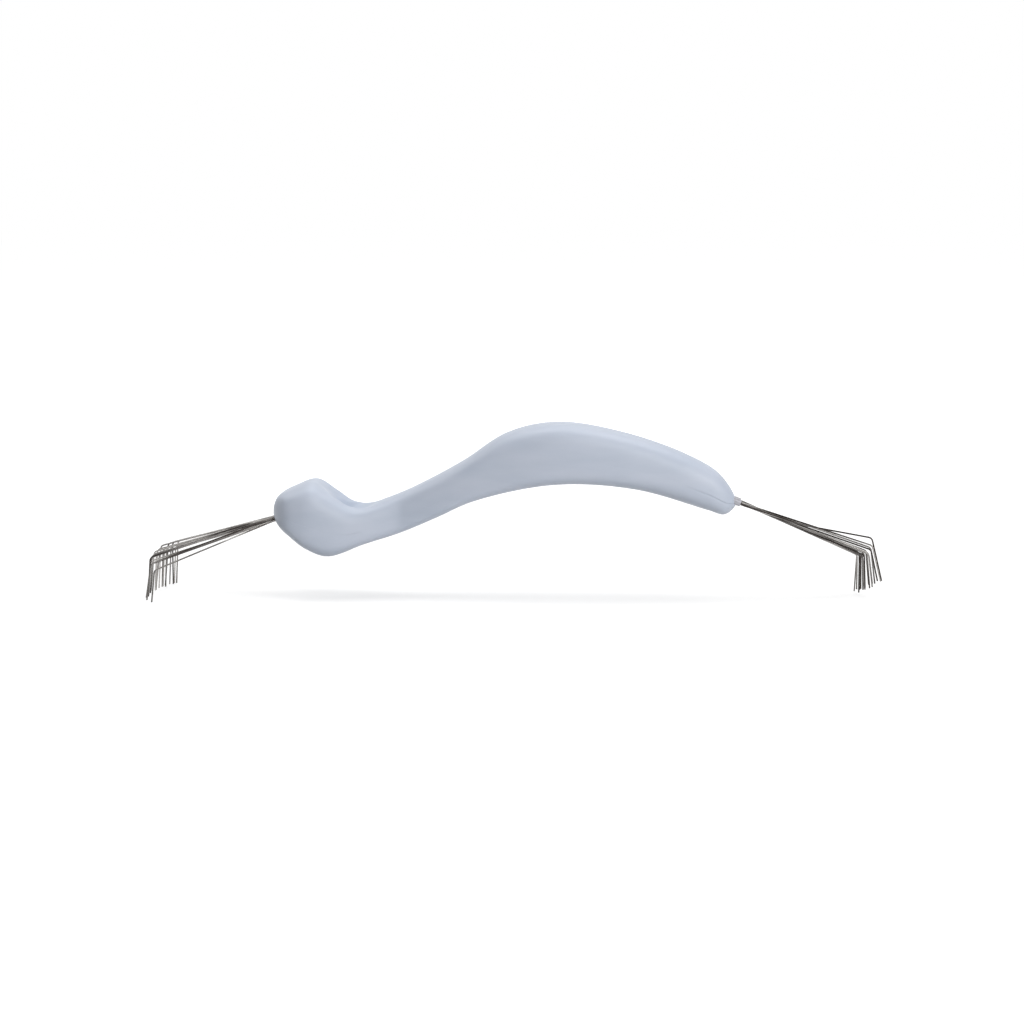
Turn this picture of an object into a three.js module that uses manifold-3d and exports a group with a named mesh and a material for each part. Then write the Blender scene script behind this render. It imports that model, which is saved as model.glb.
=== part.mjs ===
import * as THREE from "three";
import { mergeVertices } from "three/addons/utils/BufferGeometryUtils.js";
import Module from "manifold-3d";

// A two-ended brush cleaning rake: a curved handle of two moulded shells, with a fan of bent
// spring wires clamped in each end. Sizes are in millimetres, +Z is up. The handle is drawn from
// its nose (x = 0, at the wide fan) to its tail (at the narrow fan), with heights above the
// floor, and the finished rake stands on its wire tips with its box centred on the origin.

// Handle: places along its length, from the nose
const handleLength = 119.8;
const hookAt = 10.3;
const soleAt = 14.3;
const saddleAt = 23.7;
const neckAt = 33.3;
const palmAt = 73.2;

// Handle: heights above the floor. The front wires leave under the nose, the rear ones at the tail.
const noseHeight = 22.2;
const chinHeight = 20.1;
const hookHeight = 30.2;
const soleHeight = 10.8;
const saddleHeight = 23.95;
const palmHeight = 45.5;
const tailHeight = 25.4;
const tailLobe = 3.5;

// Handle: thickness, width and section
const saddleThickness = 10;
const neckThickness = 10.2;
const palmThickness = 15.85;
const hookWidth = 24;
const neckWidth = 13.6;
const palmWidth = 19;
const tailWidth = 11;
const noseBlunt = 3.6;
const tailBlunt = 4.6;
const gripPower = 4;
const tailTopPower = 3;
const tailUnderPower = 2.3;
const dishDepth = 2.6;
const dishWidth = 12.5;
const dishPower = 1.25;
const dishAt = 19.3;
const dishReach = 9;

// Shells: wall, parting seam and the joint between the halves
const wall = 2.4;
const seamShare = 0.4;
const seamGap = 0.15;
const fitGap = 0.3;
const tongueThickness = 0.9;
const tongueHeight = 0.9;
const pegDiameter = 3;
const pegReach = 2.4;
const pegShares = [0.17, 0.5, 0.88];
const bossWall = 1.1;

// Wires and the crimped ferrules that hold them
const wireDiameter = 0.4;
const wireGap = 0.15;
const ferruleWall = 0.25;
const ferruleLength = 9;
const flangeThickness = 1;
const flangeLip = 0.8;
const mouthBendRadius = 3;
const mouthBendAt = 1;
const tineBendRadius = 1.3;

// The wide fan at the nose and the narrow fan at the tail. Angles are in degrees. Across a fan,
// t runs from -1 on the -Y side to +1 on the +Y side. crowdFar and crowdMiddle draw the wires
// together, on the +Y side and about the middle. reachFall shortens the outermost ones. With a
// stray lift the first wire kinks up at a share of its way, and its knee lies that much higher.
const frontFan = {
  name: "front",
  outward: -1,
  rootAt: 0,
  rootHeight: chinHeight,
  wires: 20,
  rowSpacing: 0.8,
  ferruleSlope: 8,
  ferruleProud: -0.7,
  slope: 16.8,
  roll: 4.5,
  turn: 2,
  spread: 23.5,
  crowdFar: 0.3,
  crowdMiddle: 0.22,
  reach: 34.7,
  reachFall: 0.6,
  droop: 1.3,
  tipHeight: 0,
  tipTilt: 0,
  tineLean: 5,
  leanChange: -2.5,
  angleUneven: 0.2,
  kneeUneven: 0.6,
  leanUneven: 3,
  tipUneven: 0.2,
  strayFrom: 0.5,
  strayLift: 0,
};
const rearFan = {
  name: "rear",
  outward: 1,
  rootAt: handleLength,
  rootHeight: tailHeight,
  wires: 18,
  rowSpacing: 0.5,
  ferruleSlope: 21,
  ferruleProud: 1.2,
  slope: 20.7,
  roll: -19,
  turn: 0,
  spread: 14.5,
  crowdFar: 0.45,
  crowdMiddle: 0.3,
  reach: 35.4,
  reachFall: 0,
  droop: 0,
  tipHeight: 3,
  tipTilt: -3.3,
  tineLean: 7,
  leanChange: -8,
  angleUneven: 0.15,
  kneeUneven: 0.8,
  leanUneven: 2.4,
  tipUneven: 0.7,
  strayFrom: 0.5,
  strayLift: 2.2,
};

// Fineness of the facets
const sectionSteps = 14;
const bodyStep = 3;
const endSteps = 6;
const wireSides = 8;
const mouthBendSteps = 2;
const tineBendSteps = 5;
const roundSegments = 2;
const pegSides = 24;
const halvings = 40;
const overcut = 1.5;

const wasm = await Module();
wasm.setup();

const mix = THREE.MathUtils.lerp;
const radians = THREE.MathUtils.degToRad;

// Geometry to solid and back, for joining and cutting
function solidOf(geometry) {
  const bare = geometry.clone();
  bare.deleteAttribute("normal");
  bare.deleteAttribute("uv");
  const merged = mergeVertices(bare, 1e-4);
  const mesh = new wasm.Mesh({
    numProp: 3,
    vertProperties: merged.attributes.position.array,
    triVerts: new Uint32Array(merged.index.array),
  });
  return new wasm.Manifold(mesh);
}

function geometryOf(solid) {
  const mesh = solid.getMesh();
  const geometry = new THREE.BufferGeometry();
  geometry.setAttribute("position", new THREE.BufferAttribute(mesh.vertProperties, 3));
  geometry.setIndex(new THREE.BufferAttribute(mesh.triVerts, 1));
  geometry.computeVertexNormals();
  return geometry;
}

// A smooth closed outline that runs out along one edge and back along the other. Both edges are
// lists of [x, height] from nose to tail, and share their first and last points.
class Outline {
  constructor(upper, lower) {
    const loop = [...upper, ...lower.slice(1, -1).reverse()];
    const points = loop.map(([x, height]) => new THREE.Vector3(x, 0, height));
    this.curve = new THREE.CatmullRomCurve3(points, true, "centripetal");
    this.tail = (upper.length - 1) / loop.length;
  }

  // Height of the edge that runs from one end of the loop's range to the other, by halving
  heightAt(x, nose, tail) {
    let low = nose;
    let high = tail;
    for (let i = 0; i < halvings; i++) {
      const middle = (low + high) / 2;
      if (this.curve.getPoint(middle).x < x) low = middle;
      else high = middle;
    }
    return this.curve.getPoint((low + high) / 2).z;
  }

  upperAt(x) {
    return this.heightAt(x, 0, this.tail);
  }

  lowerAt(x) {
    return this.heightAt(x, 1, this.tail);
  }
}

// The handle seen from the side
const neckHeight = mix(saddleHeight, palmHeight, 0.15);
const neckUnder = neckHeight - neckThickness;
const palmUnder = palmHeight - palmThickness;
const palmToTail = (share) => mix(palmAt, handleLength, share);
const neckToPalm = (share) => mix(neckAt, palmAt, share);
const side = new Outline(
  [
    [0, noseHeight],
    [0.1 * hookAt, mix(noseHeight, hookHeight, 0.5)],
    [0.5 * hookAt, mix(noseHeight, hookHeight, 0.8)],
    [hookAt, hookHeight],
    [mix(hookAt, saddleAt, 0.4), mix(hookHeight, saddleHeight, 0.5)],
    [mix(hookAt, saddleAt, 0.7), mix(hookHeight, saddleHeight, 0.92)],
    [saddleAt, saddleHeight],
    [neckAt, neckHeight],
    [neckToPalm(0.38), mix(neckHeight, palmHeight, 0.43)],
    [neckToPalm(0.68), mix(neckHeight, palmHeight, 0.85)],
    [palmAt, palmHeight],
    [palmToTail(0.36), mix(palmHeight, tailHeight, 0.12)],
    [palmToTail(0.72), mix(palmHeight, tailHeight, 0.4)],
    [palmToTail(0.91), mix(palmHeight, tailHeight, 0.66)],
    [handleLength, tailHeight],
  ],
  [
    [0, noseHeight],
    [0.1 * hookAt, mix(noseHeight, soleHeight, 0.26)],
    [0.36 * soleAt, mix(noseHeight, soleHeight, 0.59)],
    [0.61 * soleAt, mix(noseHeight, soleHeight, 0.83)],
    [soleAt, soleHeight],
    [saddleAt, saddleHeight - saddleThickness],
    [neckAt, neckUnder],
    [neckToPalm(0.24), mix(neckUnder, palmUnder, 0.325)],
    [neckToPalm(0.47), mix(neckUnder, palmUnder, 0.65)],
    [palmAt, palmUnder],
    [palmToTail(0.44), mix(palmUnder, tailHeight, 0.28)],
    [palmToTail(0.84), tailHeight - 0.66 * tailLobe],
    [palmToTail(0.935), tailHeight - tailLobe],
    [palmToTail(0.985), tailHeight - 0.55 * tailLobe],
    [handleLength, tailHeight],
  ],
);

// The handle seen from above, one half mirrored in the other
const planEdge = [
  [0, 0],
  [0.1 * noseBlunt, 0.24 * hookWidth],
  [noseBlunt, 0.45 * hookWidth],
  [mix(noseBlunt, saddleAt, 0.22), 0.5 * hookWidth],
  [mix(noseBlunt, saddleAt, 0.55), 0.475 * hookWidth],
  [saddleAt, mix(neckWidth, hookWidth, 0.47) / 2],
  [mix(saddleAt, neckAt, 0.8), mix(neckWidth, hookWidth, 0.06) / 2],
  [neckAt, neckWidth / 2],
  [neckToPalm(0.06), mix(neckWidth, palmWidth, 0.05) / 2],
  [neckToPalm(0.5), mix(neckWidth, palmWidth, 0.6) / 2],
  [palmAt, palmWidth / 2],
  [palmToTail(0.5), mix(palmWidth, tailWidth, 0.36) / 2],
  [handleLength - tailBlunt, tailWidth / 2],
  [handleLength - 0.1 * tailBlunt, tailWidth / 4],
  [handleLength, 0],
];
const mirrored = planEdge.map(([x, half]) => [x, -half]);
const plan = new Outline(planEdge, mirrored);

const seamAt = (x) => mix(side.lowerAt(x), side.upperAt(x), seamShare);

// How square the section is: 2 is an ellipse. It turns rounder from the palm to the tail.
function sectionPower(x, half) {
  const tailPower = half > 0 ? tailTopPower : tailUnderPower;
  return mix(gripPower, tailPower, THREE.MathUtils.smoothstep(x, palmAt, handleLength));
}

// Depth of the thumb dish in the saddle: full at its middle, nothing past its reach and width
function dishDepthAt(x, y) {
  const away = Math.min(1, Math.abs(x - dishAt) / dishReach);
  const aside = Math.min(1, Math.abs(y) / (dishWidth / 2));
  return dishDepth * Math.cos((away * Math.PI) / 2) ** 2 * (1 - aside ** 2) ** dishPower;
}

// Stations along the handle: close together where the ends round off
function stationsBetween(from, to) {
  const count = Math.ceil((to - from) / bodyStep);
  return Array.from({ length: count + 1 }, (_, i) => mix(from, to, i / count));
}

function endStations(tip, inner) {
  const steps = Array.from({ length: endSteps }, (_, i) => (i + 1) / endSteps);
  return steps.map((share) => mix(tip, inner, 1 - Math.cos((share * Math.PI) / 2)));
}

const outerStations = [
  ...endStations(0, hookAt).slice(0, -1),
  ...stationsBetween(hookAt, palmToTail(0.8)),
  ...endStations(handleLength, palmToTail(0.8)).slice(0, -1).reverse(),
];

// Half of the handle's section at x, as a ring: over the top for half = 1, under the bottom for
// half = -1. It is drawn in from the outside by inset, and closed at a level above the seam.
function halfSection(x, half, inset, closeAt) {
  const seam = seamAt(x);
  const edge = half > 0 ? side.upperAt(x) : side.lowerAt(x);
  const rise = Math.abs(edge - seam) - inset;
  const reach = plan.upperAt(x) - inset;
  const power = sectionPower(x, half);
  const ring = [];
  for (let i = 0; i <= sectionSteps; i++) {
    const across = Math.cos((Math.PI * i) / sectionSteps);
    const up = (1 - Math.abs(across) ** power) ** (1 / power);
    const y = half * reach * across;
    const dished = half > 0 ? dishDepthAt(x, y) : 0;
    const isRim = i === 0 || i === sectionSteps;
    const level = isRim ? closeAt : half * (rise * up - dished);
    ring.push(new THREE.Vector3(x, y, seam + level));
  }
  return ring;
}

// A rectangle across the handle at x, as a ring, reaching to a given inset from the outside
function bandSection(x, inset, low, high) {
  const seam = seamAt(x);
  const reach = plan.upperAt(x) - inset;
  const corners = [
    [reach, low],
    [reach, high],
    [-reach, high],
    [-reach, low],
  ];
  return corners.map(([y, level]) => new THREE.Vector3(x, y, seam + level));
}

// A closed skin over rings of equal length, each end drawn together in a point
function skin(rings, startPoint, endPoint) {
  const count = rings[0].length;
  const points = [startPoint, ...rings.flat(), endPoint];
  const last = points.length - 1;
  const faces = [];
  for (let j = 0; j < count; j++) {
    const next = (j + 1) % count;
    faces.push(0, 1 + next, 1 + j);
    for (let i = 0; i + 1 < rings.length; i++) {
      const here = 1 + i * count;
      const there = here + count;
      faces.push(here + j, here + next, there + next);
      faces.push(here + j, there + next, there + j);
    }
    const rim = 1 + (rings.length - 1) * count;
    faces.push(rim + j, rim + next, last);
  }
  const geometry = new THREE.BufferGeometry().setFromPoints(points);
  geometry.setIndex(faces);
  return geometry;
}

function middleOf(ring) {
  const sum = ring.reduce((total, point) => total.add(point), new THREE.Vector3());
  return sum.divideScalar(ring.length);
}

const flatSkin = (rings) => skin(rings, middleOf(rings[0]), middleOf(rings.at(-1)));

// A rectangle with rounded corners, drawn across a ferrule's axis
function roundedBar(width, height, radius) {
  const x = width / 2;
  const y = height / 2;
  const bar = new THREE.Shape();
  bar.absarc(x - radius, y - radius, radius, 0, Math.PI / 2);
  bar.absarc(radius - x, y - radius, radius, Math.PI / 2, Math.PI);
  bar.absarc(radius - x, radius - y, radius, Math.PI, 1.5 * Math.PI);
  bar.absarc(x - radius, radius - y, radius, 1.5 * Math.PI, 2 * Math.PI);
  return bar;
}

function extrude(shape, from, to) {
  const options = { depth: to - from, bevelEnabled: false, curveSegments: roundSegments };
  return new THREE.ExtrudeGeometry(shape, options).translate(0, 0, from);
}

// Sizes of a fan's ferrule: the wires lie in two staggered rows, a wire gap apart
function ferruleSizes(fan) {
  const pitch = wireDiameter + wireGap;
  const rootWidth = (fan.wires / 2 - 0.5) * pitch;
  const bore = rootWidth + wireDiameter + 2 * wireGap;
  const boreHeight = fan.rowSpacing + wireDiameter + 2 * wireGap;
  const boreRadius = wireDiameter / 2 + wireGap;
  return { rootWidth, bore, boreHeight, boreRadius };
}

// The frame of a fan's ferrule: +z out along its axis, +y up, with its mouth at the origin
function ferruleFrame(fan) {
  const slope = radians(fan.ferruleSlope);
  const axis = new THREE.Vector3(fan.outward * Math.cos(slope), 0, -Math.sin(slope));
  const up = new THREE.Vector3(fan.outward * Math.sin(slope), 0, Math.cos(slope));
  const across = new THREE.Vector3().crossVectors(up, axis);
  const root = new THREE.Vector3(fan.rootAt, 0, fan.rootHeight);
  const mouth = root.addScaledVector(axis, fan.ferruleProud);
  return new THREE.Matrix4().makeBasis(across, up, axis).setPosition(mouth);
}

// Ferrule: a flat crimped sleeve with a flange that keys it into the shells
function ferrule(fan) {
  const { bore, boreHeight, boreRadius } = ferruleSizes(fan);
  const layers = [
    [ferruleWall, -ferruleLength, 0],
    [ferruleWall + flangeLip, -ferruleLength, flangeThickness - ferruleLength],
  ];
  const solids = layers.map(([grow, from, to]) => {
    const bar = roundedBar(bore + 2 * grow, boreHeight + 2 * grow, boreRadius + grow);
    bar.holes.push(roundedBar(bore, boreHeight, boreRadius));
    return solidOf(extrude(bar, from, to));
  });
  return geometryOf(solids[0].add(solids[1])).applyMatrix4(ferruleFrame(fan));
}

// The pocket for a ferrule, a fit gap larger all round and open past the handle's end
function ferrulePocket(fan) {
  const { bore, boreHeight, boreRadius } = ferruleSizes(fan);
  const layers = [
    [ferruleWall, -ferruleLength, fan.ferruleProud + ferruleLength],
    [ferruleWall + flangeLip, -ferruleLength - fitGap, flangeThickness - ferruleLength + fitGap],
  ];
  const solids = layers.map(([grow, from, to]) => {
    const room = grow + fitGap;
    const bar = roundedBar(bore + 2 * room, boreHeight + 2 * room, boreRadius + room);
    return solidOf(extrude(bar, from, to).applyMatrix4(ferruleFrame(fan)));
  });
  return solids[0].add(solids[1]);
}

// The hollow runs between the two ferrules, behind a web of two walls at the nose and of one
// wall at the tail. The pegs stand in it at set shares of its length.
const ferruleDepth = (fan) => ferruleLength * Math.cos(radians(fan.ferruleSlope)) - fan.ferruleProud;
const hollowFrom = ferruleDepth(frontFan) + fitGap + 2 * wall;
const hollowTo = handleLength - ferruleDepth(rearFan) - fitGap - wall;
const hollowStations = stationsBetween(hollowFrom, hollowTo);
const pegPlaces = pegShares.map((share) => mix(hollowFrom, hollowTo, share));

function outerHalf(half) {
  const rings = outerStations.map((x) => halfSection(x, half, 0, (half * seamGap) / 2));
  const nose = new THREE.Vector3(0, 0, noseHeight + (half * seamGap) / 2);
  const tail = new THREE.Vector3(handleLength, 0, tailHeight + (half * seamGap) / 2);
  return solidOf(skin(rings, nose, tail));
}

function hollow(half) {
  const rings = hollowStations.map((x) => halfSection(x, half, wall, -half * overcut));
  return solidOf(flatSkin(rings));
}

// A band round the hollow at the seam: the tongue, or with a gap the rebate that takes it
function seamBand(gap) {
  const inset = wall - tongueThickness - gap;
  const from = hollowFrom - tongueThickness - gap;
  const to = hollowTo + tongueThickness + gap;
  const rings = stationsBetween(from, to).map((x) =>
    bandSection(x, inset, -overcut, tongueHeight + gap),
  );
  return solidOf(flatSkin(rings));
}

// An upright round post on the handle's middle line
function post(x, diameter, from, to) {
  const rod = new THREE.CylinderGeometry(diameter / 2, diameter / 2, to - from, pegSides);
  rod.rotateX(Math.PI / 2).translate(x, 0, (from + to) / 2);
  return solidOf(rod);
}

const bossDiameter = pegDiameter + 2 * (fitGap + bossWall);

function upperShell() {
  let shell = outerHalf(1).subtract(hollow(1)).subtract(seamBand(fitGap));
  for (const x of pegPlaces) {
    const seam = seamAt(x);
    const roof = side.upperAt(x) - wall / 2;
    shell = shell.add(post(x, bossDiameter, seam + fitGap, roof));
    shell = shell.subtract(post(x, pegDiameter + 2 * fitGap, seam - overcut, seam + pegReach + fitGap));
  }
  for (const fan of [frontFan, rearFan]) shell = shell.subtract(ferrulePocket(fan));
  return geometryOf(shell);
}

function lowerShell() {
  let shell = outerHalf(-1).add(seamBand(0)).subtract(hollow(-1));
  for (const x of pegPlaces) {
    const floor = side.lowerAt(x) + wall / 2;
    shell = shell.add(post(x, pegDiameter, floor, seamAt(x) + pegReach));
  }
  for (const fan of [frontFan, rearFan]) shell = shell.subtract(ferrulePocket(fan));
  return geometryOf(shell);
}

// A wire's centre line as a row of stations. Its end is cut level, so the last face looks down.
class WirePath extends THREE.Curve {
  constructor(stations) {
    super();
    this.stations = stations;
  }

  indexAt(share) {
    return Math.round(share * (this.stations.length - 1));
  }

  getPointAt(share, target = new THREE.Vector3()) {
    return target.copy(this.stations[this.indexAt(share)]);
  }

  getTangentAt(share, target = new THREE.Vector3()) {
    const here = this.indexAt(share);
    const last = this.stations.length - 1;
    if (here === last) return target.set(0, 0, -1);
    const before = this.stations[Math.max(here - 1, 0)];
    const after = this.stations[here + 1];
    const arriving = new THREE.Vector3().subVectors(this.stations[here], before).normalize();
    const leaving = new THREE.Vector3().subVectors(after, this.stations[here]).normalize();
    return target.addVectors(arriving, leaving).normalize();
  }
}

// Points round a bend of a given radius at a corner between two directions
function bend(corner, arriving, leaving, radius, steps) {
  const setback = radius * Math.tan(arriving.angleTo(leaving) / 2);
  const start = corner.clone().addScaledVector(arriving, -setback);
  const end = corner.clone().addScaledVector(leaving, setback);
  return new THREE.QuadraticBezierCurve3(start, corner, end).getPoints(steps);
}

// A repeatable unevenness between -1 and 1, as hand-set wires have
function uneven(index, kind) {
  return Math.sin(index * 2.7 + kind * 1.9) * Math.cos(index * 1.3 + kind * 4.1);
}

// One wire of a fan: straight in the ferrule, out along the fan and bent down into its tine
function wirePath(fan, index) {
  const t = -1 + (2 * index) / (fan.wires - 1);
  const frame = ferruleFrame(fan);
  const across = new THREE.Vector3().setFromMatrixColumn(frame, 0);
  if (across.y < 0) across.negate();
  const axis = new THREE.Vector3().setFromMatrixColumn(frame, 2);
  const up = new THREE.Vector3().setFromMatrixColumn(frame, 1);
  const mouth = new THREE.Vector3()
    .setFromMatrixPosition(frame)
    .addScaledVector(across, (t * ferruleSizes(fan).rootWidth) / 2)
    .addScaledVector(up, ((index % 2) - 0.5) * fan.rowSpacing);
  const start = mouth.clone().addScaledVector(axis, wireGap - ferruleLength);

  const slope = radians(fan.slope);
  const fanAxis = new THREE.Vector3(fan.outward * Math.cos(slope), 0, -Math.sin(slope));
  const fanAcross = across.clone().applyAxisAngle(fanAxis, radians(fan.outward * fan.roll));
  const aside = t + (fan.crowdFar - fan.crowdMiddle * t) * (1 - t * t);
  const angle = radians(fan.turn + fan.spread * aside + fan.angleUneven * uneven(index, 1));
  const out = fanAxis.clone().multiplyScalar(Math.cos(angle));
  out.addScaledVector(fanAcross, Math.sin(angle));
  const knee = mouth.clone().addScaledVector(out, fan.reach - fan.reachFall * aside * aside);
  knee.z -= fan.droop * aside * aside + fan.kneeUneven * uneven(index, 2);

  const corner = mouth.clone().addScaledVector(axis, mouthBendAt);
  const kinks = [];
  if (index === 0 && fan.strayLift > 0) {
    kinks.push(corner.clone().lerp(knee, fan.strayFrom));
    knee.z += fan.strayLift;
  }
  const turns = [corner, ...kinks, knee];
  const setOut = turns[1].clone().sub(corner).normalize();
  const along = knee.clone().sub(turns.at(-2)).normalize();
  const lean = radians(fan.tineLean + fan.leanChange * aside + fan.leanUneven * uneven(index, 3));
  const ahead = new THREE.Vector3(along.x, along.y, 0).normalize();
  const down = ahead.multiplyScalar(Math.sin(lean));
  down.z = -Math.cos(lean);
  const level = fan.tipHeight + fan.tipTilt * aside + fan.tipUneven * (1 + uneven(index, 4));
  const tip = knee.clone().addScaledVector(down, (knee.z - level) / Math.cos(lean));
  return new WirePath([
    start,
    ...bend(corner, axis, setOut, mouthBendRadius, mouthBendSteps),
    ...kinks,
    ...bend(knee, along, down, tineBendRadius, tineBendSteps),
    tip,
  ]);
}

function wire(fan, index) {
  const corners = Array.from({ length: wireSides }, (_, i) => {
    const angle = (2 * Math.PI * i) / wireSides;
    return new THREE.Vector2(Math.cos(angle), Math.sin(angle)).multiplyScalar(wireDiameter / 2);
  });
  const path = wirePath(fan, index);
  const options = { extrudePath: path, steps: path.stations.length - 1 };
  return new THREE.ExtrudeGeometry(new THREE.Shape(corners), options);
}

const handlePlastic = new THREE.MeshStandardMaterial({ color: "#bcc3ce", roughness: 0.5 });
const springSteel = new THREE.MeshStandardMaterial({ color: "#8f9196", roughness: 0.3, metalness: 1 });
const brightSteel = new THREE.MeshStandardMaterial({ color: "#d2d4d6", roughness: 0.25, metalness: 1 });

function piece(name, geometry, material) {
  const mesh = new THREE.Mesh(geometry, material);
  mesh.name = name;
  return mesh;
}

function buildRake() {
  const rake = new THREE.Group();
  rake.add(piece("handle_upper_shell", upperShell(), handlePlastic));
  rake.add(piece("handle_lower_shell", lowerShell(), handlePlastic));
  for (const fan of [frontFan, rearFan]) {
    rake.add(piece(`${fan.name}_ferrule`, ferrule(fan), brightSteel));
    for (let i = 0; i < fan.wires; i++) {
      const number = String(i + 1).padStart(2, "0");
      rake.add(piece(`${fan.name}_wire_${number}`, wire(fan, i), springSteel));
    }
  }
  return rake;
}

const rake = buildRake();
const box = new THREE.Box3().setFromObject(rake, true);
const middle = box.getCenter(new THREE.Vector3());
rake.position.set(-middle.x, -middle.y, -box.min.z);

const object = new THREE.Group();
object.add(rake);
export default object;
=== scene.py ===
import math

import bmesh
import bpy
import numpy as np
from mathutils import Matrix, Vector
from mathutils.geometry import interpolate_bezier


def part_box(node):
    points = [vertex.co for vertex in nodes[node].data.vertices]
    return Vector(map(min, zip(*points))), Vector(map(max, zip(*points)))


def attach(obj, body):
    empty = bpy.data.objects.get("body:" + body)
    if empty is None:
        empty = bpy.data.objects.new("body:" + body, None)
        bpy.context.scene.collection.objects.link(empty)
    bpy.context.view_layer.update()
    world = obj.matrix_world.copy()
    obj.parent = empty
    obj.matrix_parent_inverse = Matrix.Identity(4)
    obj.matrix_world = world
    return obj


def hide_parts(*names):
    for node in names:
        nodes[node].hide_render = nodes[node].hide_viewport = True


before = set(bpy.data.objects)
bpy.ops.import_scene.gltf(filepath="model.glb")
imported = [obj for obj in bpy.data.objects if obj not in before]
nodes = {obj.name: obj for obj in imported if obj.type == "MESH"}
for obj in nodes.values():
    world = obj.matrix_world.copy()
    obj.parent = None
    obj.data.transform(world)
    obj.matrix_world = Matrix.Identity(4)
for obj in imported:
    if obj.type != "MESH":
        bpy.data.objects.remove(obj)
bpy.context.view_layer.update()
scene = bpy.context.scene
mm = 0.001  # settings are in mm and degrees, unless a note says otherwise
tiny = 0.0005  # points closer than this count as one
print("frame loaded:", len(nodes), "nodes")


def mix(a, b, share):
    return a + (b - a) * share


def smoothStep(value, start, end):
    share = min(max((value - start) / (end - start), 0), 1)
    return share * share * (3 - 2 * share)


def linearColour(hexColour):  # sRGB hex to the linear values that shaders take
    parts = [int(hexColour[i:i + 2], 16) / 255 for i in (1, 3, 5)]
    return [p / 12.92 if p <= 0.04045 else ((p + 0.055) / 1.055) ** 2.4 for p in parts] + [1.0]


def addNode(tree, kind, inputs=None, **settings):
    node = tree.nodes.new(kind)
    for name, value in settings.items():
        setattr(node, name, value)
    for name, value in (inputs or {}).items():
        if isinstance(value, bpy.types.NodeSocket):
            tree.links.new(value, node.inputs[name])
        else:
            node.inputs[name].default_value = value
    return node


def mathNode(tree, operation, first, second):
    return addNode(tree, "ShaderNodeMath", {0: first, 1: second}, operation=operation).outputs["Value"]


def patternScale(size):  # for a pattern with features of this size
    return 1 / mm / size


def newMaterial(name):
    material = bpy.data.materials.new(name)
    material.use_nodes = True
    material.node_tree.nodes.clear()
    return material, material.node_tree


def newObject(name, data):
    made = bpy.data.objects.new(name, data)
    scene.collection.objects.link(made)
    return made


def meshObject(name, bm):  # bm is in mm
    bmesh.ops.recalc_face_normals(bm, faces=bm.faces)
    bmesh.ops.scale(bm, vec=(mm, mm, mm), verts=bm.verts)
    data = bpy.data.meshes.new(name)
    bm.to_mesh(data)
    bm.free()
    return newObject(name, data)


def applyModifiers(made):
    evaluated = made.evaluated_get(bpy.context.evaluated_depsgraph_get())
    data = bpy.data.meshes.new_from_object(evaluated)
    made.modifiers.clear()
    made.data = data


def cutAway(made, cutter):
    boolean = made.modifiers.new("cut", "BOOLEAN")
    boolean.operation = "DIFFERENCE"
    boolean.solver = "EXACT"
    boolean.object = cutter
    applyModifiers(made)
    bpy.data.objects.remove(cutter)


def shadeSmooth(made, sharpAngle):
    made.data.shade_smooth()
    made.data.set_sharp_from_angle(angle=math.radians(sharpAngle))
    weighted = made.modifiers.new("evenNormals", "WEIGHTED_NORMAL")  # wide faces rule over narrow ones
    weighted.keep_sharp = True


def finishPiece(made, node, material):
    made.data.materials.clear()
    made.data.materials.append(material)
    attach(made, "root")
    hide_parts(node)


# Camera: a long lens, a little above the handle and a little to the right of square on
camera = {
    "distance": 650,
    "elevation": 7,
    "azimuth": 3,
    "focal": 2500,  # pixels
    "image": 1024,  # pixels, square
    "sensor": 36,
    "nearest": 10,
    "aimAt": (1.13, -1.04, 22.62),  # the point seen at aimPixel
    "aimPixel": (515, 510),
}


def makeCamera():
    data = bpy.data.cameras.new("studioCamera")
    data.sensor_width = camera["sensor"]
    data.lens = camera["focal"] / camera["image"] * data.sensor_width
    data.clip_start = camera["nearest"] * mm
    made = newObject("studioCamera", data)
    up = math.radians(camera["elevation"])
    turn = math.radians(camera["azimuth"])
    back = Vector((math.sin(turn) * math.cos(up), -math.cos(turn) * math.cos(up), math.sin(up)))
    facing = back.to_track_quat("Z", "Y")
    pixel = camera["distance"] / camera["focal"]
    half = camera["image"] / 2
    aside = Vector((half - camera["aimPixel"][0], camera["aimPixel"][1] - half, 0)) * pixel
    aim = Vector(camera["aimAt"]) + facing @ aside
    made.location = (aim + back * camera["distance"]) * mm
    made.rotation_euler = facing.to_euler()
    scene.camera = made


makeCamera()
print("camera set")


# Ferrules: flat crimped sleeves, flanged at the back, each round two staggered rows of wires
ferrule = {
    "wireDiameter": 0.4,
    "wireGap": 0.15,
    "wall": 0.25,
    "length": 9,
    "flange": 1,
    "flangeLip": 0.8,
    "pocketGap": 0.1,
    "cornerSteps": 6,
    "rimRound": 0.08,
    "rimSteps": 3,
    "rimAngle": 60,  # a sharper edge at the mouth is a rim
    "sharpAngle": 40,
    "front": {
        "node": "front_ferrule",
        "outward": -1,
        "wires": 20,
        "rowSpacing": 0.8,
        "slope": 8,
        "sunk": 0.7,  # how far the mouth lies inside the nose
    },
    "rear": {
        "node": "rear_ferrule",
        "outward": 1,
        "wires": 18,
        "rowSpacing": 0.5,
        "slope": 21,
    },
}


def boreSize(end):  # width and height of the room that the wires take
    around = ferrule["wireDiameter"] + 2 * ferrule["wireGap"]
    pitch = ferrule["wireDiameter"] + ferrule["wireGap"]
    return (end["wires"] / 2 - 0.5) * pitch + around, end["rowSpacing"] + around


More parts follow.
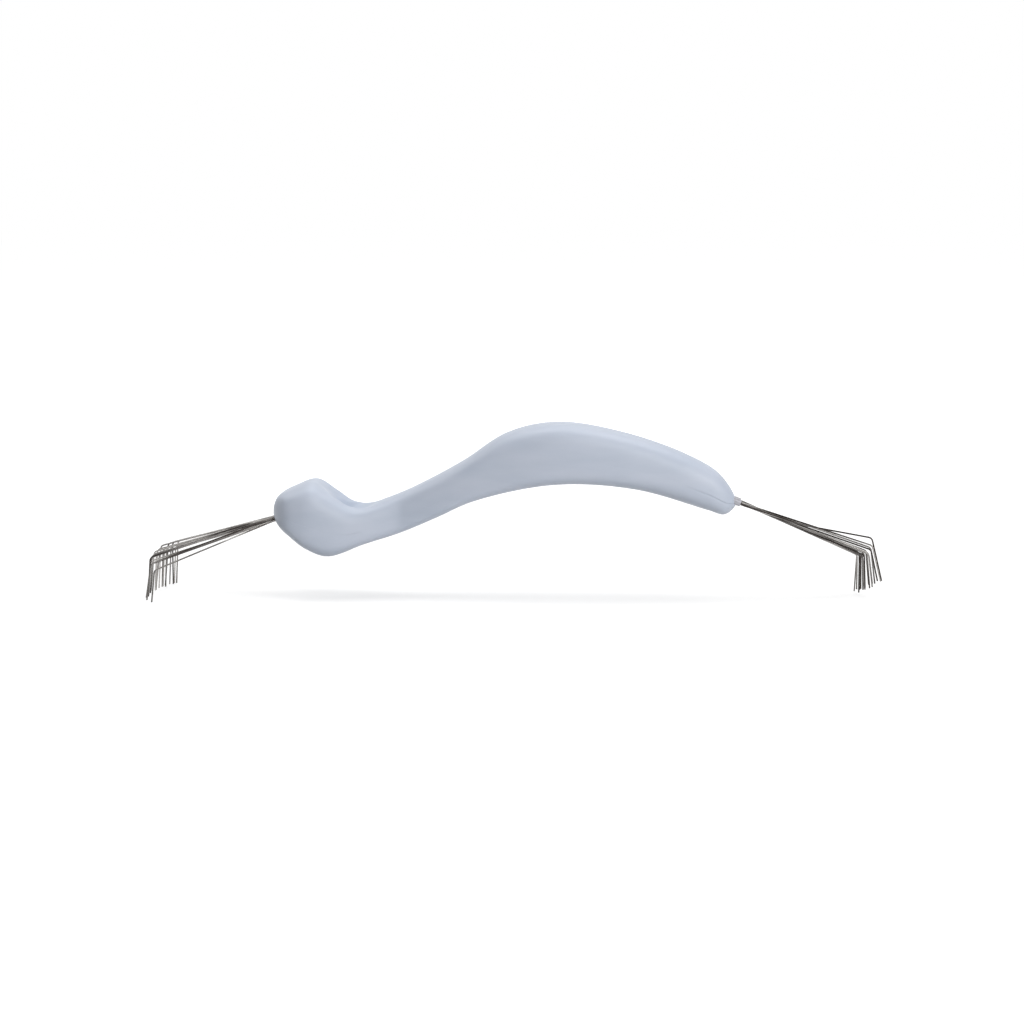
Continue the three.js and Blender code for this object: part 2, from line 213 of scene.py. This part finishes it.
def mouthPlace(end):  # a ferrule's frame: x across, y up and z out, from the middle of its mouth
    low, high = (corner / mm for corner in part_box(end["node"]))
    slope = math.radians(end["slope"])
    half = boreSize(end)[1] / 2 + ferrule["wall"]
    outermost = low.x if end["outward"] < 0 else high.x
    mouth = Vector((
        outermost - end["outward"] * half * math.sin(slope),
        (low.y + high.y) / 2,
        low.z + half * math.cos(slope),
    ))
    axis = Vector((end["outward"] * math.cos(slope), 0, -math.sin(slope)))
    up = Vector((end["outward"] * math.sin(slope), 0, math.cos(slope)))
    return Matrix.Translation(mouth) @ Matrix((up.cross(axis), up, axis)).transposed().to_4x4()


def roundedBar(end, margin):  # a flat face with round corners: the bore, and a margin all round it
    width, height = (size + 2 * margin for size in boreSize(end))
    bm = bmesh.new()
    stretch = Matrix.Diagonal((width, height, 1, 1))
    bmesh.ops.create_grid(bm, x_segments=1, y_segments=1, size=0.5, matrix=stretch)
    radius = ferrule["wireDiameter"] / 2 + ferrule["wireGap"] + margin
    bmesh.ops.bevel(bm, geom=bm.verts[:], offset=radius, segments=ferrule["cornerSteps"], profile=0.5,
                    affect="VERTICES", material=-1)
    return bm


def drawOut(bm, face, along, scale=(1, 1, 1)):  # extrude a face, then move and scale its copy
    made = bmesh.ops.extrude_face_region(bm, geom=[face])["geom"]
    end = next(item for item in made if isinstance(item, bmesh.types.BMFace))
    bmesh.ops.translate(bm, vec=(0, 0, along), verts=end.verts)
    bmesh.ops.scale(bm, vec=scale, verts=end.verts)
    return end


def flangedBar(end, margin, mouthAt, shoulderAt, backAt):  # a sleeve and its flange as one solid bar
    bm = roundedBar(end, margin)
    bmesh.ops.translate(bm, vec=(0, 0, mouthAt), verts=bm.verts)
    lip = ferrule["flangeLip"]
    wider = [(size + 2 * (margin + lip)) / (size + 2 * margin) for size in boreSize(end)] + [1]
    mouth = bm.faces[:][0]
    sleeveEnd = drawOut(bm, mouth, shoulderAt - mouthAt)
    shoulder = drawOut(bm, sleeveEnd, 0, wider)
    back = drawOut(bm, shoulder, backAt - shoulderAt)
    bmesh.ops.delete(bm, geom=[sleeveEnd, shoulder], context="FACES_ONLY")  # they lie inside the bar
    return bm, mouth, back


def makeFerrule(end):
    wall, length = ferrule["wall"], ferrule["length"]
    bm, mouth, back = flangedBar(end, wall, 0, ferrule["flange"] - length, -length)
    bmesh.ops.inset_region(bm, faces=[mouth], thickness=wall, use_even_offset=True)
    bmesh.ops.inset_region(bm, faces=[back], thickness=wall + ferrule["flangeLip"], use_even_offset=True)
    bore = mouth.edges[:] + back.edges[:]
    bmesh.ops.delete(bm, geom=[mouth, back], context="FACES_ONLY")
    bmesh.ops.bridge_loops(bm, edges=bore)
    atMouth = [edge for edge in bm.edges if all(abs(vert.co.z) < tiny for vert in edge.verts)]
    rims = [edge for edge in atMouth if edge.calc_face_angle(0) > math.radians(ferrule["rimAngle"])]
    bmesh.ops.bevel(bm, geom=rims, offset=ferrule["rimRound"], segments=ferrule["rimSteps"], profile=0.5,
                    affect="EDGES", material=-1)
    bm.transform(mouthPlace(end))
    made = meshObject(end["node"] + "_sleeve", bm)
    shadeSmooth(made, ferrule["sharpAngle"])
    return made


def pocketBar(end):  # what the shells are cut away by, from well outside the mouth
    gap, length = ferrule["pocketGap"], ferrule["length"]
    margin = ferrule["wall"] + gap
    bm = flangedBar(end, margin, length, ferrule["flange"] + gap - length, -length - gap)[0]
    bm.transform(mouthPlace(end))
    return meshObject("pocket", bm)


ends = [ferrule["front"], ferrule["rear"]]
sleeves = [makeFerrule(end) for end in ends]
print("ferrules made:", len(sleeves))


# Handle: the outlines and sections of its two moulded halves. Places are from the nose and heights
# from the floor.
handle = {
    "length": 119.8,
    "hookAt": 10.3,
    "soleAt": 14.3,
    "saddleAt": 23.7,
    "neckAt": 33.3,
    "palmAt": 73.2,
    "noseHeight": 22.2,
    "chinHeight": 20.1,
    "hookHeight": 30.2,
    "soleHeight": 10.8,
    "saddleHeight": 23.95,
    "palmHeight": 45.5,
    "tailHeight": 25.4,
    "tailLobe": 3.5,
    "saddleThickness": 10,
    "neckThickness": 10.2,
    "palmThickness": 15.85,
    "hookWidth": 24,
    "neckWidth": 13.6,
    "palmWidth": 19,
    "tailWidth": 11,
    "noseBlunt": 3.6,
    "tailBlunt": 4.6,
    "gripPower": 4,  # how square the section is: 2 is an ellipse
    "tailTopPower": 3,
    "tailUnderPower": 2.3,
    "dishDepth": 2.6,
    "dishWidth": 12.5,
    "dishPower": 1.25,
    "dishAt": 19.3,
    "dishReach": 9,
    "tongueAt": 15.6,  # the neck's top runs into the dish as a rounded tongue
    "tongueTo": 22,
    "tongueWidth": 12,
    "foldDepth": 0.9,
    "foldFade": 2,
    "foldWall": 0.35,
    "foldRun": 3,
    "seamShare": 0.4,
    "stations": 320,
    "sectionSteps": 160,
    "lipSteps": 3,
    "outlineSteps": 48,
    "sharpAngle": 50,
}

# The seam is closed up along the grip. Towards the tail the upper rim stands over the lower one,
# and below the dish it shows as a faint line.
seam = {
    "lip": 0.08,
    "lipClosed": 0.004,
    "gap": 0.03,
    "gapClosed": 0.002,
    "step": 0.06,
    "tailFade": (103, 114),
    "hookAt": 21,
    "hookReach": 5,
    "hookShare": 0.6,
    "mostShare": 0.3,  # of a shell's height or half width, for the lip, the gap and the step
}


def smoothLine(points, steps):  # closed curve through the points, calm round tight corners
    line = []
    count = len(points)
    for i in range(count):
        a, b, c, d = (points[(i + k - 1) % count] for k in range(4))
        before, here, after = ((q - p).length ** 0.5 for p, q in ((a, b), (b, c), (c, d)))
        leave = (b - a) / before - (c - a) / (before + here) + (c - b) / here
        arrive = (c - b) / here - (d - b) / (here + after) + (d - c) / after
        line += interpolate_bezier(b, b + leave * here / 3, c - arrive * here / 3, c, steps + 1)[:-1]
    return line


def edgesOf(upper, lower):  # both edges of an outline, as functions of x
    steps = handle["outlineSteps"]
    loop = [Vector((x, 0, z)) for x, z in upper + lower[-2:0:-1]]
    line = np.array(smoothLine(loop, steps))
    tail = (len(upper) - 1) * steps
    over = line[:tail + 1]
    under = np.vstack([line[tail:], line[:1]])[::-1]

    def overAt(x):
        return float(np.interp(x, over[:, 0], over[:, 2]))

    def underAt(x):
        return float(np.interp(x, under[:, 0], under[:, 2]))

    return overAt, underAt


def toPalm(share):
    return mix(handle["neckAt"], handle["palmAt"], share)


def toTail(share):
    return mix(handle["palmAt"], handle["length"], share)


def sideOutline():
    h = handle
    neckHeight = mix(h["saddleHeight"], h["palmHeight"], 0.15)
    neckUnder = neckHeight - h["neckThickness"]
    palmUnder = h["palmHeight"] - h["palmThickness"]
    nose, hook, sole, tail = h["noseHeight"], h["hookHeight"], h["soleHeight"], h["tailHeight"]
    upper = [
        (0, nose),
        (0.1 * h["hookAt"], mix(nose, hook, 0.5)),
        (0.5 * h["hookAt"], mix(nose, hook, 0.8)),
        (h["hookAt"], hook),
        (mix(h["hookAt"], h["saddleAt"], 0.4), mix(hook, h["saddleHeight"], 0.5)),
        (mix(h["hookAt"], h["saddleAt"], 0.7), mix(hook, h["saddleHeight"], 0.92)),
        (h["saddleAt"], h["saddleHeight"]),
        (h["neckAt"], neckHeight),
        (toPalm(0.38), mix(neckHeight, h["palmHeight"], 0.43)),
        (toPalm(0.68), mix(neckHeight, h["palmHeight"], 0.85)),
        (h["palmAt"], h["palmHeight"]),
        (toTail(0.36), mix(h["palmHeight"], tail, 0.12)),
        (toTail(0.72), mix(h["palmHeight"], tail, 0.4)),
        (toTail(0.91), mix(h["palmHeight"], tail, 0.66)),
        (h["length"], tail),
    ]
    lower = [
        (0, nose),
        (0.1 * h["hookAt"], mix(nose, sole, 0.26)),
        (0.36 * h["soleAt"], mix(nose, sole, 0.59)),
        (0.61 * h["soleAt"], mix(nose, sole, 0.83)),
        (h["soleAt"], sole),
        (h["saddleAt"], h["saddleHeight"] - h["saddleThickness"]),
        (h["neckAt"], neckUnder),
        (toPalm(0.24), mix(neckUnder, palmUnder, 0.325)),
        (toPalm(0.47), mix(neckUnder, palmUnder, 0.65)),
        (h["palmAt"], palmUnder),
        (toTail(0.44), mix(palmUnder, tail, 0.28)),
        (toTail(0.84), tail - 0.66 * h["tailLobe"]),
        (toTail(0.935), tail - h["tailLobe"]),
        (toTail(0.985), tail - 0.55 * h["tailLobe"]),
        (h["length"], tail),
    ]
    return edgesOf(upper, lower)


def planOutline():
    h = handle
    edge = [
        (0, 0),
        (0.1 * h["noseBlunt"], 0.24 * h["hookWidth"]),
        (h["noseBlunt"], 0.45 * h["hookWidth"]),
        (mix(h["noseBlunt"], h["saddleAt"], 0.22), 0.5 * h["hookWidth"]),
        (mix(h["noseBlunt"], h["saddleAt"], 0.55), 0.475 * h["hookWidth"]),
        (h["saddleAt"], mix(h["neckWidth"], h["hookWidth"], 0.47) / 2),
        (mix(h["saddleAt"], h["neckAt"], 0.8), mix(h["neckWidth"], h["hookWidth"], 0.06) / 2),
        (h["neckAt"], h["neckWidth"] / 2),
        (toPalm(0.06), mix(h["neckWidth"], h["palmWidth"], 0.05) / 2),
        (toPalm(0.5), mix(h["neckWidth"], h["palmWidth"], 0.6) / 2),
        (h["palmAt"], h["palmWidth"] / 2),
        (toTail(0.5), mix(h["palmWidth"], h["tailWidth"], 0.36) / 2),
        (h["length"] - h["tailBlunt"], h["tailWidth"] / 2),
        (h["length"] - 0.1 * h["tailBlunt"], h["tailWidth"] / 4),
        (h["length"], 0),
    ]
    return edgesOf(edge, [(x, -y) for x, y in edge])[0]


topAt, bottomAt = sideOutline()
widthAt = planOutline()


def seamOpen(x):  # 1 where the seam shows, 0 where it is closed up
    away = min(1, abs(x - seam["hookAt"]) / seam["hookReach"])
    atHook = seam["hookShare"] * math.cos(away * math.pi / 2) ** 2
    return max(atHook, smoothStep(x, *seam["tailFade"]))


def sectionPower(x, half):
    tailPower = handle["tailTopPower"] if half > 0 else handle["tailUnderPower"]
    return mix(handle["gripPower"], tailPower, smoothStep(x, handle["palmAt"], handle["length"]))


def dishAt(x, y):  # depth of the thumb dish on top of the hook
    h = handle
    away = min(1, abs(x - h["dishAt"]) / h["dishReach"])
    aside = min(1, abs(y) / (h["dishWidth"] / 2))
    return h["dishDepth"] * math.cos(away * math.pi / 2) ** 2 * (1 - aside * aside) ** h["dishPower"]


def foldAt(x, y):  # the fold round the tongue's end: steep on its outer side, easy on the tongue
    h = handle
    bend = (h["tongueTo"] - h["tongueAt"]) / (h["tongueWidth"] / 2) ** 2
    outside = (h["tongueAt"] + bend * y * y - x) / math.hypot(1, 2 * bend * y)
    shape = smoothStep(outside, -h["foldRun"], 0) * (1 - smoothStep(outside, 0, h["foldWall"]))
    faded = smoothStep(x, h["tongueTo"] - 2 * h["foldFade"], h["tongueTo"] + h["foldFade"])
    return h["foldDepth"] * shape * (1 - faded)


def shellPoint(x, half, row):  # row counts up the near lip, over the section and down the far lip
    steps, lips, power = handle["sectionSteps"], handle["lipSteps"], sectionPower(x, half)
    level = mix(bottomAt(x), topAt(x), handle["seamShare"])
    rise = abs((topAt(x) if half > 0 else bottomAt(x)) - level)
    reach = widthAt(x)
    if min(rise, reach, x, handle["length"] - x) < tiny:  # both ends close in a point
        return Vector((x, 0, level))
    shows, most = seamOpen(x), seam["mostShare"]
    lip = min(mix(seam["lipClosed"], seam["lip"], shows), most * rise)
    gap = min(mix(seam["gapClosed"], seam["gap"], shows) / 2, most * rise)
    last = steps + 2 * lips
    onLip = min(row, last - row)
    if onLip < lips:  # quarter round at the rim
        turn = onLip / lips * math.pi / 2
        up = lip * (1 - math.cos(turn))
        share = (1 - (up / rise) ** power) ** (1 / power)
        across = max(reach * share - lip * (1 - math.sin(turn)), 0)
        across = across if row < lips else -across
    else:
        widest = (1 - (lip / rise) ** power) ** (1 / power)
        turn = math.pi * (row - lips) / steps
        flat, tall = math.cos(turn), math.sin(turn)
        share = widest * flat / (abs(flat) ** power + tall ** power) ** (1 / power)
        across = reach * share
        up = rise * (1 - abs(share) ** power) ** (1 / power)
    if half < 0:  # the lower rim is set in under the upper one
        across *= 1 - min(seam["step"] * shows / reach, most) * (1 - up / rise) ** 2
    dish = dishAt(x, across) + foldAt(x, across) if half > 0 else 0
    return Vector((x, -across, level + half * (gap + up * (1 - gap / rise) - dish)))


def handleToFrame():  # the chin, under the nose, lies on the front ferrule's axis, outside its mouth
    place = mouthPlace(ferrule["front"])
    chin = place @ Vector((0, 0, ferrule["front"]["sunk"]))
    return chin - Vector((0, 0, handle["chinHeight"]))


handleStart = handleToFrame()


def makeShell(name, half):
    stations, rows = handle["stations"], handle["sectionSteps"] + 2 * handle["lipSteps"]
    bm = bmesh.new()
    bmesh.ops.create_grid(bm, x_segments=stations, y_segments=rows, size=1)
    for vert in bm.verts:  # lay the flat grid over the half handle, closer together at its ends
        station = round((vert.co.x + 1) / 2 * stations)
        row = round((vert.co.y + 1) / 2 * rows)
        x = handle["length"] * (1 - math.cos(math.pi * station / stations)) / 2
        vert.co = shellPoint(x, half, row) + handleStart
    bmesh.ops.remove_doubles(bm, verts=bm.verts, dist=tiny)
    rim = [edge for edge in bm.edges if edge.is_boundary]
    inward = bmesh.ops.extrude_edge_only(bm, edges=rim)["geom"]
    for vert in inward:
        if isinstance(vert, bmesh.types.BMVert):
            vert.co.y = handleStart.y  # the seam face runs in to the middle
    bmesh.ops.remove_doubles(bm, verts=bm.verts, dist=tiny)
    shell = meshObject(name, bm)
    for end in ends:
        cutAway(shell, pocketBar(end))
    shadeSmooth(shell, handle["sharpAngle"])
    return shell


upperShell = makeShell("upper_shell_moulding", 1)
lowerShell = makeShell("lower_shell_moulding", -1)
print("shells made:", len(upperShell.data.polygons), len(lowerShell.data.polygons))


# Wires: drawn spring wire, each bent at the ferrule and into its tine, the stray one also half way
wires = {
    "roundness": 2,
    "bendSteps": 8,
    "straightRun": 3,  # a longer stretch between two CAD rings is a straight run
    "straightHandle": 0.3,  # handles of the curve on a straight run
    "level": 0.01,  # CAD points this close are one, or on one level
}


def centreLine(node):  # middles of the CAD wire's rings, from its root to its tip
    bm = bmesh.new()
    bm.from_mesh(node.data)
    bmesh.ops.remove_doubles(bm, verts=bm.verts, dist=wires["level"] * mm)
    lowest = min(vert.co.z for vert in bm.verts)
    ring = [vert for vert in bm.verts if vert.co.z < lowest + wires["level"] * mm]
    line, done = [], set()
    while ring:
        line.append(sum((vert.co for vert in ring), Vector()) / len(ring))
        done.update(ring)
        reached = {edge.other_vert(vert) for vert in ring for edge in vert.link_edges} - done
        ring = [vert for vert in bm.verts if vert in reached]  # in one order, so that each run sums alike
    bm.free()
    return line[::-1]


def makeWire(name):
    line = centreLine(nodes[name])
    runs = [(a, b) for a, b in zip(line, line[1:]) if (b - a).length > wires["straightRun"] * mm]
    data = bpy.data.curves.new(name + "_drawn", "CURVE")
    data.dimensions = "3D"
    data.bevel_depth = ferrule["wireDiameter"] / 2 * mm
    data.bevel_resolution = wires["roundness"]
    data.resolution_u = wires["bendSteps"]
    data.use_fill_caps = True
    spline = data.splines.new("BEZIER")
    spline.bezier_points.add(2 * len(runs) - 1)
    for i, (start, end) in enumerate(runs):
        along = (end - start).normalized() * wires["straightHandle"] * mm
        for point, place in zip(spline.bezier_points[2 * i:2 * i + 2], (start, end)):
            point.co = place
            point.handle_left = place - along
            point.handle_right = place + along
    for i in range(len(runs) - 1):  # round each bend off between its two straight runs
        first, second = spline.bezier_points[2 * i + 1], spline.bezier_points[2 * i + 2]
        arriving = (runs[i][1] - runs[i][0]).normalized()
        leaving = (runs[i + 1][1] - runs[i + 1][0]).normalized()
        corner = (second.co - first.co).length / 2 / math.cos(arriving.angle(leaving) / 2)
        first.handle_right = first.co + arriving * corner * 2 / 3  # two thirds of the way to the corner
        second.handle_left = second.co - leaving * corner * 2 / 3
    return newObject(name + "_drawn", data)


wireNames = sorted(name for name in nodes if "_wire_" in name)
drawnWires = {name: makeWire(name) for name in wireNames}
print("wires drawn:", len(drawnWires))


# Satin ABS, injection moulded: pale blue grey with a soft sheen, faint flow streaks along the handle
# and a very fine skin
def satinAbs():
    material, tree = newMaterial("satin moulded ABS, pale blue grey")
    place = addNode(tree, "ShaderNodeTexCoord")
    along = addNode(tree, "ShaderNodeMapping", {
        "Vector": place.outputs["Object"],
        "Scale": [patternScale(size) for size in (24, 5, 5)],  # streaks of 24 by 5 mm
    })
    flow = addNode(tree, "ShaderNodeTexNoise", {
        "Vector": along.outputs["Vector"],
        "Scale": 1,
        "Detail": 4,
    })
    shade = addNode(tree, "ShaderNodeMapRange", {
        "Value": flow.outputs["Fac"],
        "From Min": 0.3,
        "From Max": 0.7,
    })
    tone = addNode(tree, "ShaderNodeMix", {
        "Factor": shade.outputs["Result"],
        "A": linearColour("#bac3d2"),
        "B": linearColour("#c5ccda"),
    }, data_type="RGBA")
    skin = addNode(tree, "ShaderNodeTexNoise", {
        "Vector": place.outputs["Object"],
        "Scale": patternScale(0.7),
        "Detail": 2,
    })
    bump = addNode(tree, "ShaderNodeBump", {
        "Height": skin.outputs["Fac"],
        "Strength": 0.06,
        "Distance": 0.05 * mm,
    })
    shader = addNode(tree, "ShaderNodeBsdfPrincipled", {
        "Base Color": tone.outputs["Result"],
        "Roughness": 0.45,
        "IOR": 1.53,
        "Normal": bump.outputs["Normal"],
    })
    addNode(tree, "ShaderNodeOutputMaterial", {"Surface": shader.outputs["BSDF"]})
    return material


steel = {
    "fanCentre": 8,  # behind the ferrule's mouth, where the lines of a fan's wires meet
    "tineAt": 33,  # from there to the tines
    "tineSpacing": 1.3,
    "streak": 28,
    # which part of the endless pattern a fan shows, and the noise in its darkest and brightest wires; the
    # rear fan's range is set higher, so its wires come out darker overall: painted shade
    "front": {"patternAt": 4, "darkest": 0.43, "brightest": 0.65},
    # the rear fan's higher range paints its wires darker: painted shade
    "rear": {"patternAt": 6, "darkest": 0.46, "brightest": 0.7},
}


# Spring steel, hard drawn: dark brownish grey to bright, each wire in a tone of its own
# with long streaks; a copy for each fan, the rear fan's copy darker overall as painted shade
def drawnSpringSteel(fan):
    material, tree = newMaterial("hard drawn spring steel of the " + fan + " fan")
    place = addNode(tree, "ShaderNodeTexCoord")
    centre = mouthPlace(ferrule[fan]) @ Vector((0, 0, -steel["fanCentre"])) * mm
    inFan = addNode(tree, "ShaderNodeMapping", {"Vector": place.outputs["Object"], "Location": -centre})
    parts = addNode(tree, "ShaderNodeSeparateXYZ", {"Vector": inFan.outputs["Vector"]})
    slant = mathNode(tree, "DIVIDE", parts.outputs["Y"], parts.outputs["X"])
    laid = addNode(tree, "ShaderNodeCombineXYZ", {
        "X": parts.outputs["X"],
        "Y": mathNode(tree, "MULTIPLY", slant, steel["tineAt"] * mm),
        "Z": parts.outputs["Z"],
    })
    grain = addNode(tree, "ShaderNodeMapping", {
        "Vector": laid.outputs["Vector"],
        "Location": (0, 0, steel[fan]["patternAt"]),
        "Scale": [patternScale(steel[size]) for size in ("streak", "tineSpacing", "streak")],
    })
    streak = addNode(tree, "ShaderNodeTexNoise", {
        "Vector": grain.outputs["Vector"],
        "Scale": 1,
        "Detail": 2,
    })
    # for the rear fan this range paints the wires darker overall: painted shade
    drawn = addNode(tree, "ShaderNodeMapRange", {
        "Value": streak.outputs["Fac"],
        "From Min": steel[fan]["darkest"],
        "From Max": steel[fan]["brightest"],
    })
    tone = addNode(tree, "ShaderNodeMix", {
        "Factor": drawn.outputs["Result"],
        "A": linearColour("#3a3532"),
        "B": linearColour("#b8b5b2"),
    }, data_type="RGBA")
    shader = addNode(tree, "ShaderNodeBsdfPrincipled", {
        "Base Color": tone.outputs["Result"],
        "Metallic": 1.0,
        "Roughness": 0.25,
    })
    addNode(tree, "ShaderNodeOutputMaterial", {"Surface": shader.outputs["BSDF"]})
    return material


# Nickel plated steel, pressed: bright, softly blurred
def nickelledSteel():
    material, tree = newMaterial("nickel plated pressed steel")
    place = addNode(tree, "ShaderNodeTexCoord")
    cloud = addNode(tree, "ShaderNodeTexNoise", {
        "Vector": place.outputs["Object"],
        "Scale": patternScale(1.2),
        "Detail": 2,
    })
    rough = addNode(tree, "ShaderNodeMapRange", {
        "Value": cloud.outputs["Fac"],
        "To Min": 0.35,
        "To Max": 0.5,
    })
    shader = addNode(tree, "ShaderNodeBsdfPrincipled", {
        "Base Color": linearColour("#a2a2a8"),
        "Metallic": 1.0,
        "Roughness": rough.outputs["Result"],
    })
    addNode(tree, "ShaderNodeOutputMaterial", {"Surface": shader.outputs["BSDF"]})
    return material


absPlastic = satinAbs()
springSteel = {fan: drawnSpringSteel(fan) for fan in ("front", "rear")}
nickel = nickelledSteel()
finishPiece(upperShell, "handle_upper_shell", absPlastic)
finishPiece(lowerShell, "handle_lower_shell", absPlastic)
for end, sleeve in zip(ends, sleeves):
    finishPiece(sleeve, end["node"], nickel)
for name, wire in drawnWires.items():
    fan = name.split("_")[0]
    finishPiece(wire, name, springSteel[fan])
print("materials set")


# Studio: white floor, soft lights from the right, broad ones above, from the left and behind
studio = {
    "floorSize": 12000,
    "floorColour": "#c8c8c8",
    "glowNear": 0.58,
    "glowFrom": 0.12,  # metres from the rake
    "glowTo": 0.5,
    "skyFrom": -0.2,  # how far back a direction points where the world turns from dark to white
    "skyTo": 0.3,
    "aimAt": (0, 0, 0.02),  # metres, what the lamps point at
    # places and sizes in metres, power in watts; a lamp without shine isn't mirrored
    "lamps": {
        "key": {"place": (0.42, -0.72, 0.35), "size": 0.6, "power": 4.2, "shine": True},
        "low": {"place": (0.75, -0.55, 0.21), "size": 0.4, "power": 1.8, "shine": True},
        "left": {"place": (-0.55, 0.05, 0.85), "size": 0.8, "power": 3.5, "shine": True},
        "top": {"place": (0.1, 0.1, 1.0), "size": 0.8, "power": 5.0, "shine": True},
        "back": {"place": (-0.2, 0.8, 0.35), "size": 0.8, "power": 2.8, "shine": False},
    },
}


# Matt white floor: pure white further off by its own glow, and close to the rake partly by the lamps,
# so that a faint shadow shows
def whiteFloor():
    material, tree = newMaterial("matt white studio floor")
    path = addNode(tree, "ShaderNodeLightPath")
    direct = mathNode(tree, "MAXIMUM", path.outputs["Is Camera Ray"], path.outputs["Is Glossy Ray"])
    seen = mathNode(tree, "MAXIMUM", direct, path.outputs["Is Transmission Ray"])
    place = addNode(tree, "ShaderNodeTexCoord")
    away = addNode(tree, "ShaderNodeVectorMath", {0: place.outputs["Object"]}, operation="LENGTH")
    glow = addNode(tree, "ShaderNodeMapRange", {
        "Value": away.outputs["Value"],
        "From Min": studio["glowFrom"],
        "From Max": studio["glowTo"],
        "To Min": studio["glowNear"],
    })
    strength = mathNode(tree, "MULTIPLY", seen, glow.outputs["Result"])
    matt = addNode(tree, "ShaderNodeBsdfDiffuse", {"Color": linearColour(studio["floorColour"])})
    light = addNode(tree, "ShaderNodeEmission", {"Color": (1, 1, 1, 1), "Strength": strength})
    both = addNode(tree, "ShaderNodeAddShader", {0: matt.outputs["BSDF"], 1: light.outputs["Emission"]})
    addNode(tree, "ShaderNodeOutputMaterial", {"Surface": both.outputs["Shader"]})
    return material


def studioWorld():  # white to the camera; what shines mirrors white behind the rake and dark in front
    world = bpy.data.worlds.new("studioWorld")
    world.use_nodes = True
    tree = world.node_tree
    tree.nodes.clear()
    place = addNode(tree, "ShaderNodeTexCoord")
    way = addNode(tree, "ShaderNodeSeparateXYZ", {"Vector": place.outputs["Generated"]})
    behind = addNode(tree, "ShaderNodeMapRange", {
        "Value": way.outputs["Y"],
        "From Min": studio["skyFrom"],
        "From Max": studio["skyTo"],
    })
    path = addNode(tree, "ShaderNodeLightPath")
    shiny = mathNode(tree, "MAXIMUM", path.outputs["Is Glossy Ray"], path.outputs["Is Transmission Ray"])
    mirrored = mathNode(tree, "MULTIPLY", shiny, behind.outputs["Result"])
    strength = mathNode(tree, "MAXIMUM", path.outputs["Is Camera Ray"], mirrored)
    sky = addNode(tree, "ShaderNodeBackground", {"Color": (1, 1, 1, 1), "Strength": strength})
    addNode(tree, "ShaderNodeOutputWorld", {"Surface": sky.outputs["Background"]})
    return world


def makeStudio():
    bm = bmesh.new()
    bmesh.ops.create_grid(bm, x_segments=1, y_segments=1, size=studio["floorSize"] / 2)
    floor = meshObject("studio_floor", bm)
    floor.data.materials.append(whiteFloor())
    for name, settings in studio["lamps"].items():
        lamp = bpy.data.lights.new(name + "Light", "AREA")
        lamp.size = settings["size"]
        lamp.energy = settings["power"]
        made = newObject(name + "Light", lamp)
        made.location = settings["place"]
        made.visible_glossy = settings["shine"]
        away = made.location - Vector(studio["aimAt"])
        made.rotation_euler = away.to_track_quat("Z", "Y").to_euler()
    scene.world = studioWorld()
    scene.view_settings.view_transform = "Standard"


makeStudio()
print("studio lit")
